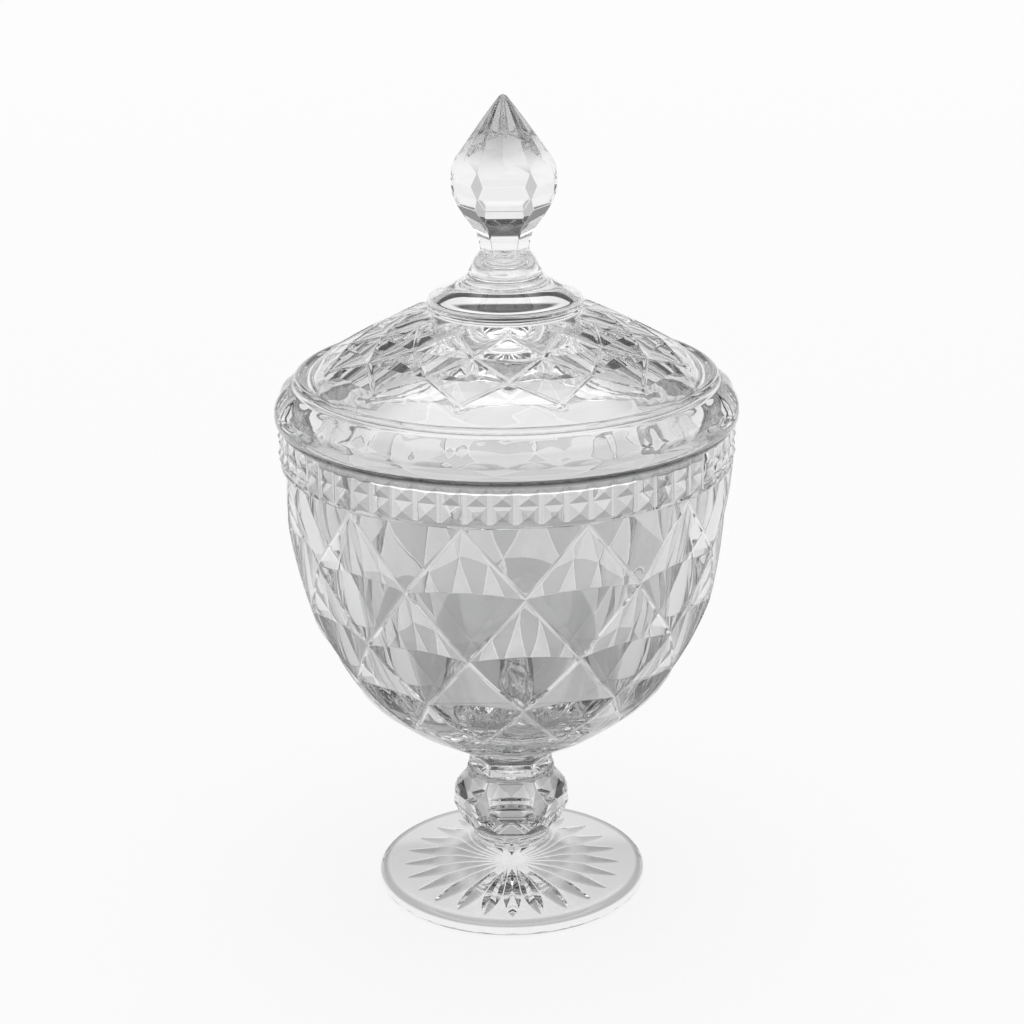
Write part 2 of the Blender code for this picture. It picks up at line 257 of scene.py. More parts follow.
@dataclass(frozen=True)
class ClearGlass:
    """Colourless pressed glass, with light and shade painted into its colour.

    Its painted tone runs from painted shade at -1, through plain pressed glass at 0, to painted light at 1.
    """

    name: str
    tint: tuple[float, float, float, float] = (0.65, 0.654, 0.652, 1.0)
    seed_tint: tuple[float, float, float, float] = (0.60, 0.605, 0.603, 1.0)
    # Colours of the painted light and the painted shade that the painted tone mixes towards.
    polished: tuple[float, float, float, float] = (1.0, 1.0, 1.0, 1.0)
    deep: tuple[float, float, float, float] = (0.22, 0.222, 0.221, 1.0)
    # Colour of the painted shade bands.
    dark: tuple[float, float, float, float] = (0.06, 0.06, 0.06, 1.0)
    # Painted shade: a dark line round the outside where the lid rests on the jar's rim, on both pieces.
    seat: Band = Band(116.4 * MM, 118.35 * MM, 0.65 * MM, 0.15 * MM)
    seat_radius: float = 51.0 * MM
    # Painted shade: a dark band round the top of the neck, under the bowl.
    neck: Band = Band(33.0 * MM, 34.7 * MM, 0.2 * MM, 0.2 * MM)
    # Darker towards the foot: partly the thick glass of the stem and bowl floor, partly painted shade on the
    # foot from the table under it.
    depths: tuple[tuple[float, float], ...] = (
        (0.0, 0.74), (12.0, 0.68), (33.0, 0.52), (44.0, 0.5), (56.0, 0.66), (70.0, 0.86), (86.0, 1.0),
    )
    ior: float = 1.51
    waviness: float = 0.035
    skin: float = 0.012
    wear: float = 0.02
    wave_scale: float = 95.0
    fine_scale: float = 420.0
    fine_share: float = 0.12
    cord_scale: float = 38.0

    def build(self) -> bpy.types.Material:
        """Make the material.

        Returns:
            The glass, with faint cords, chill waves and a lightly worn skin.
        """
        material = bpy.data.materials.new(self.name)
        material.use_nodes = True
        shade = Shade(material.node_tree)
        place = shade.out(shade.add("ShaderNodeTexCoord"), "Object")
        waves = shade.noise(place, self.wave_scale, 1.0)
        fine = shade.noise(place, self.fine_scale, 2.0)
        bump = shade.add("ShaderNodeBump", None, Strength=self.waviness, Distance=1.0 * MM,
                         Height=waves + fine * self.fine_share)
        shader = shade.add(
            "ShaderNodeBsdfPrincipled", None,
            Base_Color=self._colour(shade, place), Roughness=self.skin + self.wear * fine.ramp(0.62, 0.8),
            IOR=self.ior, Transmission_Weight=1.0, Normal=shade.out(bump, "Normal"),
        )
        out = shade.add("ShaderNodeOutputMaterial", None, Surface=shade.out(shader, "BSDF"))
        out.is_active_output = True
        return material

    def _colour(self, shade: Shade, place: Value) -> Value:
        """Work out the glass's colour from its cords, its painted light and shade, and its dark bands of
        painted shade.

        Args:
            shade: the material's tree.
            place: where the point is on the piece.

        Returns:
            The colour.
        """
        cords = shade.noise(place, self.cord_scale, 2.0, 0.6)
        colour = shade.mix_colour(cords.ramp(0.35, 0.75), self.tint, self.seed_tint)
        colour = self._deepen(shade, place, colour)
        painted_tone = shade.out(shade.add("ShaderNodeAttribute", {"attribute_name": PAINTED_TONE_ATTRIBUTE}), "Fac")
        # Painted shade where the painted tone is below 0, painted light where it is above 0.
        colour = shade.mix_colour((0.0 - painted_tone).clamp(0.0, 1.0), colour, self.deep)
        colour = shade.mix_colour(painted_tone.clamp(0.0, 1.0), colour, self.polished)
        parts = shade.add("ShaderNodeSeparateXYZ", None, Vector=place)
        x, y, z = (shade.out(parts, name) for name in "XYZ")
        # Painted shade: the dark line at the lid's rest and the dark band round the neck.
        outer = shade.math("GREATER_THAN", x * x + y * y, self.seat_radius**2)
        return shade.mix_colour(outer * self.seat.mask(z) + self.neck.mask(z), colour, self.dark)

    def _deepen(self, shade: Shade, place: Value, colour: Value) -> Value:
        """Darken a colour towards the foot, partly where the glass is thick and partly as painted shade on
        the foot from the table under it.

        Args:
            shade: the material's tree.
            place: where the point is on the piece.
            colour: the colour so far.

        Returns:
            The deeper colour.
        """
        height = shade.out(shade.add("ShaderNodeSeparateXYZ", None, Vector=place), "Z")
        top = self.depths[-1][0]
        stops = [(level / top, (tone, tone, tone, 1.0)) for level, tone in self.depths]
        ramp = shade.add("ShaderNodeValToRGB", {"stops": stops}, Fac=height * (1.0 / (top * MM)))
        node = shade.add("ShaderNodeMix", {"data_type": "RGBA", "blend_type": "MULTIPLY"},
                         i0=1.0, i6=colour, i7=shade.out(ramp, "Color"))
        return Value(shade, node.outputs[2])


# ------------------------------------------------------------------ mesh help


@dataclass
class Ring:
    """A closed row of vertices round the axis."""

    angles: list[float]
    ids: list[int]


def polar(radius: float, angle: float, height: float) -> Vector:
    """Place a point from its radius, its angle from the front, and its height."""
    return Vector((radius * math.sin(angle), -radius * math.cos(angle), height))


def angle_of(point: Vector) -> float:
    """Give a point's angle from the front."""
    return math.atan2(point.x, -point.y) % FULL_TURN


class GlassSurface:
    """One closed glass surface, grown ring by ring."""

    def __init__(self) -> None:
        """Start with nothing."""
        self.points: list[Vector] = []
        # Each vertex's painted tone of light and shade.
        self.clear: list[float] = []
        self.faces: list[tuple[int, ...]] = []
        self.flat: set[int] = set()
        # Painted tones of light and shade for single faces, over their vertices' own.
        self.tone: dict[int, float] = {}

    def vertex(self, point: Vector, clear: float = 0.0) -> int:
        """Add a vertex, with its painted tone of light and shade, and give its number.

        Args:
            point: where it goes.
            clear: its painted tone, from painted shade at -1 to painted light at 1.

        Returns:
            Its number.
        """
        self.points.append(point)
        self.clear.append(clear)
        return len(self.points) - 1

    def ring(self, points: Sequence[Vector], clear: Sequence[float] | None = None) -> Ring:
        """Add a closed row of points.

        Args:
            points: the row's points, in order round the axis.
            clear: each point's painted tone of light and shade.

        Returns:
            The row.
        """
        clear = clear or [0.0] * len(points)
        ids = [self.vertex(point, value) for point, value in zip(points, clear)]
        return Ring([angle_of(point) for point in points], ids)

    def circle(self, count: int, radius: float, height: float, clear: float = 0.0) -> Ring:
        """Add a round row."""
        points = [polar(radius, FULL_TURN * k / count, height) for k in range(count)]
        return self.ring(points, [clear] * count)

    def face(self, *ids: int, flat: bool = False, tone: float | None = None) -> None:
        """Add a face, marked flat where it is a pressed facet, with its own painted tone of light and shade
        if it has one.

        Args:
            ids: the face's corners.
        """
        if flat:
            self.flat.add(len(self.faces))
        if tone is not None:
            self.tone[len(self.faces)] = tone
        self.faces.append(ids)

    def join_even(self, first: Ring, second: Ring) -> None:
        """Join two rows of the same count, column to column.

        Args:
            first: the first row.
            second: the row to join it to.
        """
        count = len(first.ids)
        for k in range(count):
            after = (k + 1) % count
            self.face(first.ids[k], first.ids[after], second.ids[after], second.ids[k])

    def join_mixed(self, first: Ring, second: Ring) -> None:
        """Join two rows of any counts by walking round both.

        Args:
            first: the first row.
            second: the row to join it to.
        """
        start = first.angles[0] - ANGLE_SLACK
        a = self._unwrap(first, start)
        b = self._unwrap(second, start)
        i = j = 0
        while i < len(a) - 1 or j < len(b) - 1:
            step_a = i < len(a) - 1
            if step_a and j < len(b) - 1:
                step_a = a[i + 1][0] + a[i][0] <= b[j + 1][0] + b[j][0] + 1e-9
            if step_a:
                self.face(a[i][1], a[i + 1][1], b[j][1])
                i += 1
            else:
                self.face(a[i][1], b[j + 1][1], b[j][1])
                j += 1

    @staticmethod
    def _unwrap(ring: Ring, start: float) -> list[tuple[float, int]]:
        """List a row in order of angle from a start, closed at the end."""
        pairs = sorted(((angle - start) % FULL_TURN, number) for angle, number in zip(ring.angles, ring.ids))
        return [*pairs, (pairs[0][0] + FULL_TURN, pairs[0][1])]

    def join(self, first: Ring, second: Ring) -> Ring:
        """Join two rows whichever way suits them and give back the second.

        Args:
            first: the first row.
            second: the row to join it to.

        Returns:
            The second row.
        """
        if len(first.ids) == len(second.ids):
            self.join_even(first, second)
        else:
            self.join_mixed(first, second)
        return second

    def extend(self, above: Ring, points: Sequence[Vector]) -> Ring:
        """Join a row to new points in the same columns and give back their row.

        Args:
            above: the row to start from.
            points: the row's points, in order round the axis.

        Returns:
            The new row.
        """
        ring = self.ring(points)
        self.join_even(above, ring)
        return ring

    def close(self, ring: Ring, height: float) -> None:
        """Close a row with a fan to the axis.

        Args:
            ring: the row.
            height: its height.
        """
        centre = self.vertex(Vector((0.0, 0.0, height)))
        count = len(ring.ids)
        for k in range(count):
            self.face(ring.ids[k], ring.ids[(k + 1) % count], centre)

    def make(self, name: str) -> bpy.types.Object:
        """Weld the surface and put it in the scene.

        Args:
            name: the object's name.

        Returns:
            The object, smooth but for its flat facets.
        """
        mesh = bpy.data.meshes.new(name)
        mesh.from_pydata([tuple(point) for point in self.points], [], self.faces)
        for number, polygon in enumerate(mesh.polygons):
            polygon.use_smooth = number not in self.flat
        # Every face corner carries its painted tone of light and shade.
        painted_tone = mesh.attributes.new(PAINTED_TONE_ATTRIBUTE, "FLOAT", "CORNER")
        painted_tone.data.foreach_set("value", [
            self.tone.get(number, self.clear[corner])
            for number, ids in enumerate(self.faces) for corner in ids
        ])
        bm = bmesh.new()
        bm.from_mesh(mesh)
        bmesh.ops.remove_doubles(bm, verts=bm.verts, dist=WELD)
        bmesh.ops.dissolve_degenerate(bm, edges=bm.edges, dist=SLIVER)
        bmesh.ops.recalc_face_normals(bm, faces=bm.faces)
        bm.to_mesh(mesh)
        bm.free()
        mesh.update()
        mesh.set_sharp_from_angle(angle=CREASE)
        obj = bpy.data.objects.new(name, mesh)
        bpy.context.scene.collection.objects.link(obj)
        return obj


def smooth_curve(points: Sequence[tuple[float, float]], steps: int) -> list[tuple[float, float]]:
    """Round a profile through its points.

    Args:
        points: (radius, height) pairs.
        steps: how many pieces each span is cut into.

    Returns:
        The finer profile, ends included.
    """
    out = []
    last = len(points) - 1
    for k in range(last):
        p0, p1 = points[max(k - 1, 0)], points[k]
        p2, p3 = points[k + 1], points[min(k + 2, last)]
        for step in range(steps):
            t = step / steps
            out.append(tuple(
                0.5 * (2 * b + (c - a) * t + (2 * a - 5 * b + 4 * c - d) * t**2
                       + (3 * b - a - 3 * c + d) * t**3)
                for a, b, c, d in zip(p0, p1, p2, p3)
            ))
    out.append(tuple(points[-1]))
    return out


@dataclass
class DiamondLattice:
    """Flat pressed diamonds between rounded ribs that cross at nodes."""

    levels: Sequence[tuple[float, float]]
    turn: float
    bulges: Sequence[float]
    count: int = 12
    rib_width: float = 0.66 * MM
    rib_height: float = 0.11 * MM
    # Painted tones of the facets that point up and, level by level, of those that point down.
    upper_polish: float = 0.9
    lower_polish: Sequence[float] = (0.0, 0.0, 0.0, 0.0)
    swells: Sequence[float] = (0.0, 0.0, 0.0, 0.0)
    across: int = 4
    rib_steps: Sequence[float] = (0.0, 0.33, 0.66, 1.0, 1.3)
    rib_limit: float = 0.40
    fractions: Sequence[float] = (
        0.0, 0.008, 0.02, 0.04, 0.07, 0.11, 0.17, 0.25, 0.37, 0.5,
        0.63, 0.75, 0.83, 0.89, 0.93, 0.96, 0.98, 0.992,
    )

    def node(self, level: int, place: int) -> Vector:
        """Give the point of a level at a place round the axis."""
        radius, height = self.levels[level]
        return polar(radius, self.turn + math.pi * place / self.count, height)

    def lean(self, level: int) -> tuple[float, float]:
        """Give the way out of the surface at a level, as radial and upward parts.

        Args:
            level: the level's number.

        Returns:
            Its outward and upward parts.
        """
        total = [0.0, 0.0]
        for low in (level - 1, level):
            if 0 <= low < len(self.levels) - 1:
                dr = self.levels[low + 1][0] - self.levels[low][0]
                dz = self.levels[low + 1][1] - self.levels[low][1]
                sign = 1.0 if dz < 0.0 else -1.0
                size = math.hypot(dr, dz)
                total[0] -= sign * dz / size
                total[1] += sign * dr / size
        size = math.hypot(*total)
        return total[0] / size, total[1] / size

    def shares(self, width: float) -> list[float]:
        """Space the columns of a span so that its ribs keep their width.

        Args:
            width: the span's width.

        Returns:
            How far along the span each column is.
        """
        last = len(self.rib_steps) - 1
        edge = [min(step * self.rib_width / max(width, 1e-6), self.rib_limit * n / last)
                for n, step in enumerate(self.rib_steps)]
        inner = [edge[-1] + (1.0 - 2.0 * edge[-1]) * n / self.across for n in range(1, self.across)]
        return edge + inner + [1.0 - share for share in reversed(edge[1:])]

    def rib(self, distance: float) -> float:
        """Give how far a rib stands proud at a distance from its middle."""
        share = distance / self.rib_width
        return self.rib_height * (1.0 - share * share) if share < 1.0 else 0.0

    def row(self, interval: int, share: float) -> tuple[list[Vector], list[float]]:
        """Give one row of points.

        Args:
            interval: the gap between levels that the row is in.
            share: how far down that gap it is.

        Returns:
            The points, in order round the axis, and each one's painted tone of light and shade.
        """
        lean_a, lean_b = self.lean(interval), self.lean(interval + 1)
        lean = [a + (b - a) * share for a, b in zip(lean_a, lean_b)]
        bulge_a, bulge_b = self.bulges[interval], self.bulges[interval + 1]
        rising = self.levels[-1][1] > self.levels[0][1]
        swell = 4.0 * share * (1.0 - share) * self.swells[interval]
        points, painted_tone = [], []
        for place in range(2 * self.count):
            opening = (place + interval) % 2 == 0
            if opening:
                tips = [self.node(interval, place)] * 2
                ends = [self.node(interval + 1, place - 1), self.node(interval + 1, place + 1)]
                bulge = bulge_b * share
            else:
                tips = [self.node(interval, place - 1), self.node(interval, place + 1)]
                ends = [self.node(interval + 1, place)] * 2
                bulge = bulge_a * (1.0 - share)
            left = tips[0].lerp(ends[0], share)
            right = tips[1].lerp(ends[1], share)
            width = (right - left).length
            for part in self.shares(width):
                point = left.lerp(right, part)
                rise = 4.0 * part * (1.0 - part) * bulge
                rib = self.rib(min(part, 1.0 - part) * width)
                rise += rib + swell
                # Painted light on the facets that point up and along the ribs; the facets that point down
                # get a lower painted tone, painted shade below 0.
                facet = self.upper_polish if opening != rising else self.lower_polish[interval]
                painted_tone.append(facet + (1.0 - facet) * rib / self.rib_height)
                out = Vector((point.x, point.y, 0.0)).normalized() * lean[0]
                points.append(point + rise * Vector((out.x, out.y, lean[1])))
        return points, painted_tone

    def grow(self, surface: GlassSurface, above: Ring) -> Ring:
        """Add the lattice to a surface.

        Args:
            surface: the surface to grow.
            above: the row to start from.

        Returns:
            The last row.
        """
        previous = above
        last = len(self.levels) - 2
        for interval in range(last + 1):
            shares = list(self.fractions)
            if interval == last:
                shares.append(1.0)
            for share in shares:
                row = surface.ring(*self.row(interval, share))
                if previous is above:
                    surface.join_mixed(above, row)
                else:
                    surface.join_even(previous, row)
                previous = row
        return previous


@dataclass
class StudBand:
    """Rows of small square pyramids with plain strips between the columns."""

    radius: float
    top: float
    bottom: float
    columns: int = 60
    rows: int = 2
    turn: float = math.radians(-1.2)
    filled: float = 0.80
    height: float = 0.85 * MM
    # Painted tones of each stud's top, right, bottom and left facets: a painted highlight on top, painted
    # light on the left, painted shade on the bottom and right; the plain strips get painted light.
    tones: Sequence[float] = (1.0, -0.15, -0.75, 0.35)
    strip: float = 0.6

    def angles(self) -> list[float]:
        """List the edges of the columns.

        Returns:
            The angles.
        """
        step = FULL_TURN / self.columns
        half = 0.5 * self.filled * step
        return [self.turn + k * step + side * half for k in range(self.columns) for side in (-1.0, 1.0)]

    def row(self, surface: GlassSurface, radius: float, height: float) -> Ring:
        """Add a round row with the band's own columns."""
        return surface.ring([polar(radius, angle, height) for angle in self.angles()])

    def grow(self, surface: GlassSurface, above: Ring) -> Ring:
        """Add the band to a surface.

        Args:
            surface: the surface to grow.
            above: a row with the band's own columns.

        Returns:
            The last row.
        """
        previous = surface.join(above, self.row(surface, self.radius, self.top))
        angles = self.angles()
        count = len(angles)
        for number in range(self.rows):
            share = (number + 1) / self.rows
            lower_height = self.top + (self.bottom - self.top) * share
            row = self.row(surface, self.radius, lower_height)
            middle = lower_height - 0.5 * (self.bottom - self.top) / self.rows
            for k in range(count):
                after = (k + 1) % count
                corners = (previous.ids[k], previous.ids[after], row.ids[after], row.ids[k])
                if k % 2 == 1:
                    surface.face(*corners, tone=self.strip)
                    continue
                angle = 0.5 * (angles[k] + angles[after])
                tip = surface.vertex(polar(self.radius + self.height, angle, middle))
                for n in range(4):
                    surface.face(corners[n], corners[(n + 1) % 4], tip, flat=True, tone=self.tones[n])
            previous = row
        return previous


@dataclass
class SixSided:
    """A six-sided piece: flats with rounded corners and cut corner facets.

    Each section is (height, corner radius, corner facet width).
    """

    sections: Sequence[tuple[float, float, float]]
    edge: float = 0.16 * MM
    edge_limit: float = 0.3
    least_cut: float = 0.10 * MM
    flat_points: int = 3
    smooth_steps: int = 0
    # Painted tones: painted shade on the corner facets, painted light along their edges, and the flats' own
    # painted tone.
    facet_tone: float = -0.5
    edge_tone: float = 0.7
    flat_tone: float = 0.3

    def tones(self) -> list[float]:
        """Give each point's painted tone of light and shade."""
        side = [self.edge_tone, self.edge_tone, *[self.facet_tone] * 3, self.edge_tone, self.edge_tone]
        return (side + [self.flat_tone] * self.flat_points) * 6

    def row(self, height: float, corner: float, facet: float) -> list[Vector]:
        """Give one row of points round the six sides.

        Args:
            height: its height.
            corner: radius over the corners.
            facet: width of the corner's facet.

        Returns:
            The points.
        """
        cut = max(facet / math.sqrt(3.0), self.least_cut)
        full = corner + 0.5 * cut
        points = []
        for side in range(6):
            angle = math.radians(30.0 + 60.0 * side)
            tip = polar(full, angle, height)
            back = polar(1.0, angle - math.radians(120.0), 0.0)
            ahead = polar(1.0, angle + math.radians(120.0), 0.0)
            start = tip + back * cut
            end = tip + ahead * cut
            across = end - start
            lip = min(self.edge / across.length, self.edge_limit)
            next_tip = polar(full, angle + math.radians(60.0), height)
            points += [start + back * self.edge, start, start + across * lip, start + across * 0.5,
                       end - across * lip, end, end + ahead * self.edge]
            near, far = end + ahead * self.edge, next_tip - ahead * (cut + self.edge)
            for n in range(1, self.flat_points + 1):
                points.append(near.lerp(far, n / (self.flat_points + 1)))
        return points

    def rows(self) -> list[list[Vector]]:
        """List every row from first to last section, creased or flowing.

        Returns:
            The rows.
        """
        if self.smooth_steps:
            return [self.row(*section) for section in smooth_curve(self.sections, self.smooth_steps)]
        out = []
        last = len(self.sections) - 1
        for k, section in enumerate(self.sections):
            for other, wanted in ((k - 1, k > 0), (k, True), (k + 1, k < last)):
                if not wanted:
                    continue
                if other == k:
                    out.append(self.row(*section))
                    continue
                mate = self.sections[other]
                share = min(self.edge / max(abs(mate[0] - section[0]), 1e-6), self.edge_limit)
                out.append(self.row(*(a + (b - a) * share for a, b in zip(section, mate))))
        return out


@dataclass
class Crown:
    """A pointed top of twelve long facets with softened edges.

    Each level is (height, radius over the corners, radius over the flats).
    """

    levels: Sequence[tuple[float, float, float]]
    edge: float = 0.06
    # Extra painted shade on every other facet.
    streak: float = 0.3

    def row(self, height: float, corner: float, middle: float) -> list[Vector]:
        """Give one row of points round the twelve facets.

        Args:
            height: its height.
            corner: radius over the corners.
            middle: radius over the flats.

        Returns:
            The points.
        """
        points = []
        for side in range(12):
            first = polar(corner if side % 2 else middle, math.radians(30.0 * side), height)
            second = polar(middle if side % 2 else corner, math.radians(30.0 * side + 30.0), height)
            points += [first.lerp(second, share) for share in (0.0, self.edge, 0.35, 0.65, 1.0 - self.edge)]
        return points

    def streaks(self, tone: float) -> list[float]:
        """Give each point's painted tone, with more painted shade on every other facet."""
        return [max(tone - self.streak * (side % 2), -1.0) for side in range(12) for _ in range(5)]

    def rows(self) -> list[list[Vector]]:
        """List every row."""
        return [self.row(*level) for level in self.levels]


@dataclass
class FacetBelt:
    """Rows of small flat triangles cut round a six-sided piece.

    Each level is (height, radius over the corners, radius over the flats).
    """

    levels: Sequence[tuple[float, float, float]]
    # Painted tones of the two triangles at each level, painted light and painted shade.
    tones: Sequence[tuple[float, float]]
    count: int = 12

    def _ring(self, surface: GlassSurface, number: int) -> Ring:
        """Add the corners of one level, each level set half a step on from the last.

        Args:
            surface: the surface to grow.
            number: the level's number.

        Returns:
            The row.
        """
        height, corner, middle = self.levels[number]
        step = FULL_TURN / self.count
        half = 0.5 * step * (number % 2)
        return surface.ring([
            polar(corner if k % 2 or number % 2 else middle, k * step + half, height)
            for k in range(self.count)
        ])

    def grow(self, surface: GlassSurface, above: Ring) -> Ring:
        """Add the belt to a surface.

        Args:
            surface: the surface to grow.
            above: the row to start from.

        Returns:
            The last row.
        """
        previous = self._ring(surface, 0)
        surface.join_mixed(above, previous)
        for number in range(1, len(self.levels)):
            row = self._ring(surface, number)
            first_tone, second_tone = self.tones[number - 1]
            for k in range(self.count):
                after = (k + 1) % self.count
                if number % 2:
                    facets = ((previous.ids[k], previous.ids[after], row.ids[k], first_tone),
                              (row.ids[k], previous.ids[after], row.ids[after], second_tone))
                else:
                    facets = ((previous.ids[k], row.ids[after], row.ids[k], second_tone),
                              (previous.ids[k], previous.ids[after], row.ids[after], first_tone))
                for *corners, tone in facets:
                    surface.face(*corners, flat=True, tone=tone)
            previous = row
        return previous


# ------------------------------------------------------------------- the jar


@dataclass
class Jar:
    """Foot, stem and bowl, fused into one piece of glass."""

    foot_outline: Sequence[tuple[float, float]] = (
        (30.4, 0.0), (31.4, 0.25), (32.1, 0.95), (32.3, 1.8), (32.15, 2.6), (31.7, 3.2), (30.9, 3.6),
        (29.0, 4.0), (26.0, 4.6), (22.0, 5.4), (18.0, 6.4), (14.5, 7.55), (11.8, 8.8), (9.9, 10.0),
        (8.9, 10.8),
    )
    stem_rings: Sequence[tuple[float, float]] = (
        (8.7, 11.0), (9.2, 11.25), (9.35, 11.65), (9.2, 12.05), (8.75, 12.25), (8.75, 12.35), (9.3, 12.55),
        (9.5, 13.0), (9.35, 13.5), (8.9, 13.75), (8.8, 13.9),
    )
    knop_belt: Sequence[tuple[float, float, float]] = (
        (14.1, 9.3, 8.9), (16.4, 12.1, 12.1), (19.2, 13.75, 12.3),
    )
    # Painted light and painted shade on the two triangles of each level of the knop's belt.
    knop_tones: Sequence[tuple[float, float]] = ((0.95, 0.3), (0.1, 1.0))
    knop: Sequence[tuple[float, float, float]] = (
        (19.6, 13.8, 0.6), (21.2, 13.8, 2.6), (23.2, 13.6, 4.6), (25.2, 13.0, 2.6), (27.0, 11.9, 0.6),
        (28.6, 10.6, 0.4),
    )
    neck_ring: Sequence[tuple[float, float]] = (
        (9.95, 28.8), (10.35, 28.95), (10.5, 29.3), (10.35, 29.7), (9.9, 29.85),
    )
    neck: Sequence[tuple[float, float, float]] = (
        (30.0, 10.0, 0.4), (31.8, 9.9, 0.4), (33.9, 10.2, 0.4),
    )
    bowl_skirt: Sequence[tuple[float, float]] = (
        (32.8, 49.8), (28.3, 46.1), (23.6, 42.6), (18.2, 39.4), (13.8, 36.7), (11.3, 35.2), (10.3, 34.5),
    )
    bowl_levels: Sequence[tuple[float, float]] = (
        (51.9, 107.2), (50.7, 91.2), (47.4, 75.2), (41.3, 61.3), (32.8, 49.8),
    )
    bulges: Sequence[float] = (0.8, -1.2, -1.1, -0.6, 1.0)
    swells: Sequence[float] = (0.2, 0.4, 0.65, 0.85)
    # Painted tones of the bowl's facets that point down, darker lower down, painted shade below 0.
    lower_polish: Sequence[float] = (0.2, 0.0, -0.25, -0.4)
    inside: Sequence[tuple[float, float]] = (
        (48.9, 117.0), (48.4, 116.2), (48.2, 112.0), (47.8, 106.0), (47.0, 98.0), (45.3, 88.0), (42.8, 78.0),
        (38.9, 68.0), (34.2, 59.5), (28.2, 52.8), (20.5, 47.4), (12.0, 44.3), (4.0, 43.25),
    )
    inside_floor: float = 43.2
    # Painted light on the inside of the bowl and on the facets that point up.
    inner_polish: float = 0.55
    upper_polish: float = 0.5
    pattern_turn: float = -11.0
    stud_radius: float = 51.6
    stud_top: float = 116.3
    stud_bottom: float = 108.3
    band_foot: Sequence[tuple[float, float]] = ((51.75, 108.1), (51.95, 107.85), (51.95, 107.6))
    rim: float = 117.35
    rim_edge: Sequence[tuple[float, float]] = (
        (48.95, 0.15), (49.2, 0.0), (51.4, 0.0), (51.8, 0.12), (51.95, 0.35), (51.95, 0.7), (51.85, 0.95),
    )
    ledge: tuple[float, float] = (10.05, 34.3)
    rays: int = 24
    ray_inner: float = 3.0
    ray_wide: float = 17.0
    ray_outer: float = 25.8
    ray_depth: float = 2.1
    ray_radii: Sequence[float] = (1.5, 3.0, 5.0, 8.0, 11.0, 14.0, 17.0, 19.0, 21.0, 22.5, 24.0, 25.0, 25.8)
    ray_share: float = 0.47
    ray_taper: float = 0.7
    ray_open: float = 5.0
    # Painted tones along the star's rays, painted light and painted shade by turns; plain is the underside's
    # own painted tone.
    ray_zones: Sequence[tuple[float, float]] = (
        (0.0, 0.2), (9.0, -0.3), (12.5, -0.2), (15.0, 0.85), (17.0, 0.1), (19.0, -0.55), (26.0, -0.6),
    )
    plain: float = 0.4
    # Painted light on the side of the foot's rim, dark lines of painted shade at its upper and lower edges.
    rim_from: float = 30.6
    rim_top: float = 2.9
    rim_foot: float = 0.6
    rim_line: float = -0.7
    rim_side: float = 0.7
    round_steps: int = 192

    def build(self, glass: bpy.types.Material) -> bpy.types.Object:
        """Make the piece.

        Args:
            glass: its finish.

        Returns:
            The jar's glass.
        """
        surface = GlassSurface()
        previous = self._underside(surface)
        for radius, height in smooth_curve(self.foot_outline[1:], 2):
            row = surface.circle(self.round_steps, radius * MM, height * MM, self._rim_tone(radius, height))
            previous = surface.join(previous, row)
        for radius, height in self.stem_rings:
            previous = surface.join(previous, surface.circle(self.round_steps, radius * MM, height * MM))
        belt = FacetBelt([tuple(value * MM for value in level) for level in self.knop_belt], self.knop_tones)
        previous = belt.grow(surface, previous)
        # Painted shade on the knop's corner facets.
        knop = SixSided([tuple(value * MM for value in section) for section in self.knop],
                        flat_tone=0.0, facet_tone=-0.8)
        for row in knop.rows():
            previous = surface.join(previous, surface.ring(row, knop.tones()))
        for radius, height in self.neck_ring:
            previous = surface.join(previous, surface.circle(self.round_steps, radius * MM, height * MM))
        neck = SixSided([tuple(value * MM for value in section) for section in self.neck])
        # Painted light on the neck's flats.
        for row in neck.rows():
            previous = surface.join(previous, surface.ring(row, [1.0] * len(row)))
        previous = self._bowl(surface, previous)
        surface.close(previous, self.inside_floor * MM)
        obj = surface.make("jar_glass")
        obj.data.materials.append(glass)
        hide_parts("foot", "stem", "bowl")
        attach(obj, Body.JAR.value)
        return obj

    def _underside(self, surface: GlassSurface) -> Ring:
        """Add the flat underside with its cut star, out to the foot's edge.

        Args:
            surface: the surface to grow.

        Returns:
            The row at the foot's edge.
        """
        sector = FULL_TURN / self.rays
        previous = None
        for radius in self.ray_radii:
            if radius <= self.ray_wide:
                span = max((radius - self.ray_inner) / (self.ray_wide - self.ray_inner), 0.0)
            else:
                left = (self.ray_outer - radius) / (self.ray_outer - self.ray_wide)
                span = max(left, 0.0) ** self.ray_taper
            wide = min(max((radius - self.ray_inner) / self.ray_open, 0.0), 1.0)
            half = self.ray_share * sector * (wide if radius <= self.ray_wide else span)
            depth = self.ray_depth * span
            tone = self._ray_tone(radius)
            points, clear = [], []
            for ray in range(self.rays):
                middle = ray * sector
                for share, drop in ((-1.0, 0.0), (-0.5, 0.5), (0.0, 1.0), (0.5, 0.5), (1.0, 0.0)):
                    points.append(polar(radius * MM, middle + share * half, depth * drop * MM))
                    clear.append(self.plain if share in (-1.0, 1.0) else tone)
                points.append(polar(radius * MM, middle + 0.5 * sector, 0.0))
                clear.append(self.plain)
            ring = surface.ring(points, clear)
            if previous is None:
                surface.close(ring, 0.0)
            else:
                surface.join_even(previous, ring)
            previous = ring
        edge = surface.circle(self.round_steps, self.foot_outline[0][0] * MM, 0.0, self.plain)
        return surface.join(previous, edge)

    def _rim_tone(self, radius: float, height: float) -> float:
        """Give the painted tone of the foot's upper side: plain, or at its rim painted light on the side and
        painted shade at its edges.

        Args:
            radius: how far out it is, in millimetres.
            height: how high it is, in millimetres.

        Returns:
            The painted tone.
        """
        if radius < self.rim_from:
            return self.plain
        return self.rim_side if self.rim_foot < height < self.rim_top else self.rim_line

